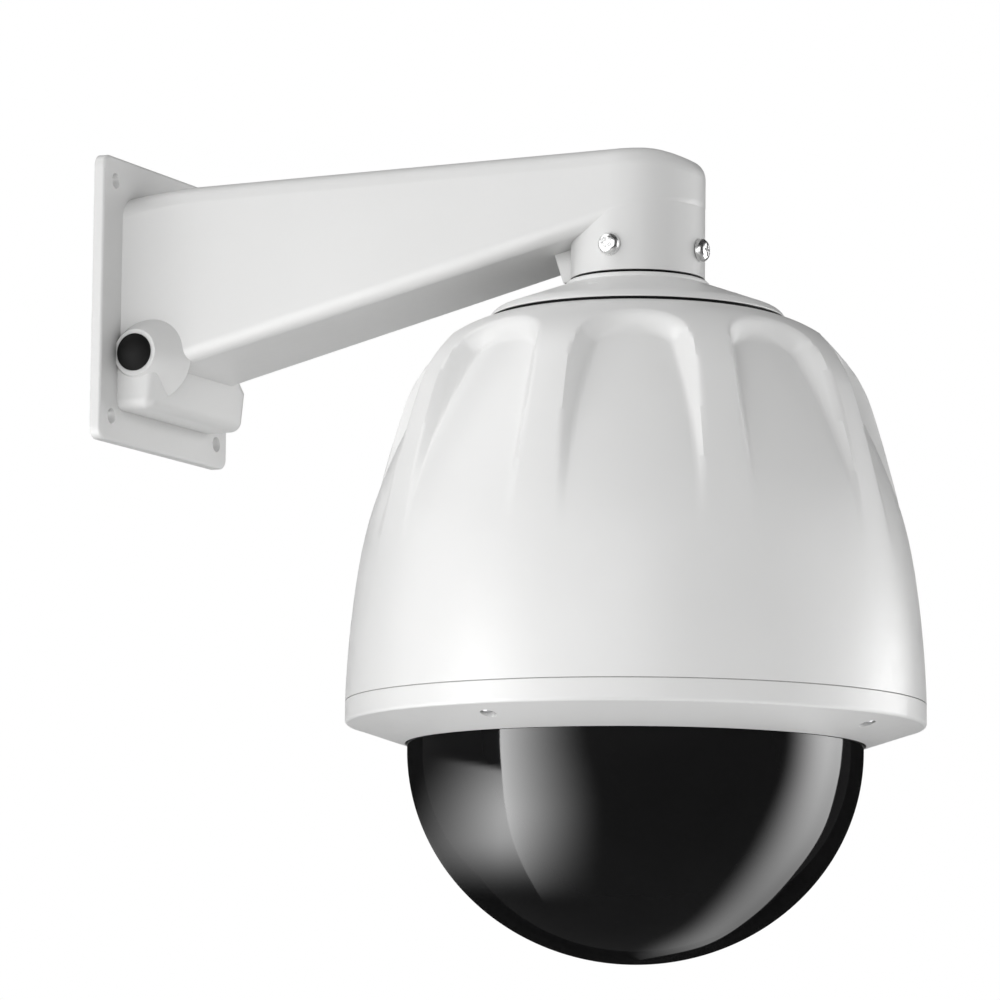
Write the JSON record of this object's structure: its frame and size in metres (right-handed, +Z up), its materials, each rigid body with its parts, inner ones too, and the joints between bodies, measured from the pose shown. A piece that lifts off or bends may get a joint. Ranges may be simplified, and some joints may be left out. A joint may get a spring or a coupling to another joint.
{
  "type": "security camera housing",
  "caption": "White dome housing for a security camera, hung from a hollow wall arm, with arched pockets round its sun shield and a smoked dome below.",
  "frame": {"origin": "centre of the four wall holes, on the back face of the wall plate", "axes": "+X out of the wall along the arm, +Z up, the housing is the same on both sides of the plane Y = 0 apart from the side entry and what is inside"},
  "size_m": [0.3548, 0.239, 0.3458],
  "materials": {
    "bracket_paint": "white powder coat, satin",
    "cap_paint": "white powder coat, satin",
    "shield_white": "moulded white, satin",
    "ring_white": "moulded white, satin",
    "black_rubber": "dull",
    "collar_screw_steel": "plated, bright",
    "small_screw_steel": "zinc plated",
    "pot_aluminium": "spun, satin",
    "plate_aluminium": "brushed",
    "standoff_brass": "turned",
    "nylon_natural": "moulded",
    "board_green": "solder resist, semi-gloss",
    "terminal_green": "moulded",
    "potting_black": "cast resin, dull",
    "socket_ivory": "moulded",
    "fan_black": "moulded, dull",
    "heater_aluminium": "extruded, anodised",
    "switch_metal": "drawn cap",
    "dome_smoked": "smoked, polished"
  },
  "bodies": {
    "housing": {"bracket": "bracket_paint", "entry_plug": "black_rubber", "collar_screws": "collar_screw_steel", "neck_seal": "black_rubber", "neck_cap": "cap_paint", "cap_gasket": "black_rubber", "sun_shield": "shield_white", "pot_gasket": "black_rubber", "inner_pot": "pot_aluminium", "cap_screws": "small_screw_steel", "standoffs": "standoff_brass", "module_plate": "plate_aluminium", "plate_screws": "small_screw_steel", "board_pillars": "nylon_natural", "connector_board": "board_green", "terminal_block": "terminal_green", "transformer": "potting_black", "module_socket": "socket_ivory", "fan_frame": "fan_black", "fan_screws": "small_screw_steel", "heater_block": "heater_aluminium", "heater_screws": "small_screw_steel", "thermostat": "switch_metal", "trim_ring": "ring_white", "ring_screws": "small_screw_steel", "ring_gasket": "black_rubber", "dome_gasket": "black_rubber", "dome_cover": "dome_smoked", "dome_clamp": "plate_aluminium", "clamp_screws": "small_screw_steel"},
    "fan": {"fan_rotor": "fan_black"}
  },
  "joints": [
    {"name": "fan_spin", "type": "hinge", "parent": "housing", "child": "fan", "pos_m": [0.23, -0.043, -0.0594], "axis": [0, 0, 1], "continuous": true}
  ]
}
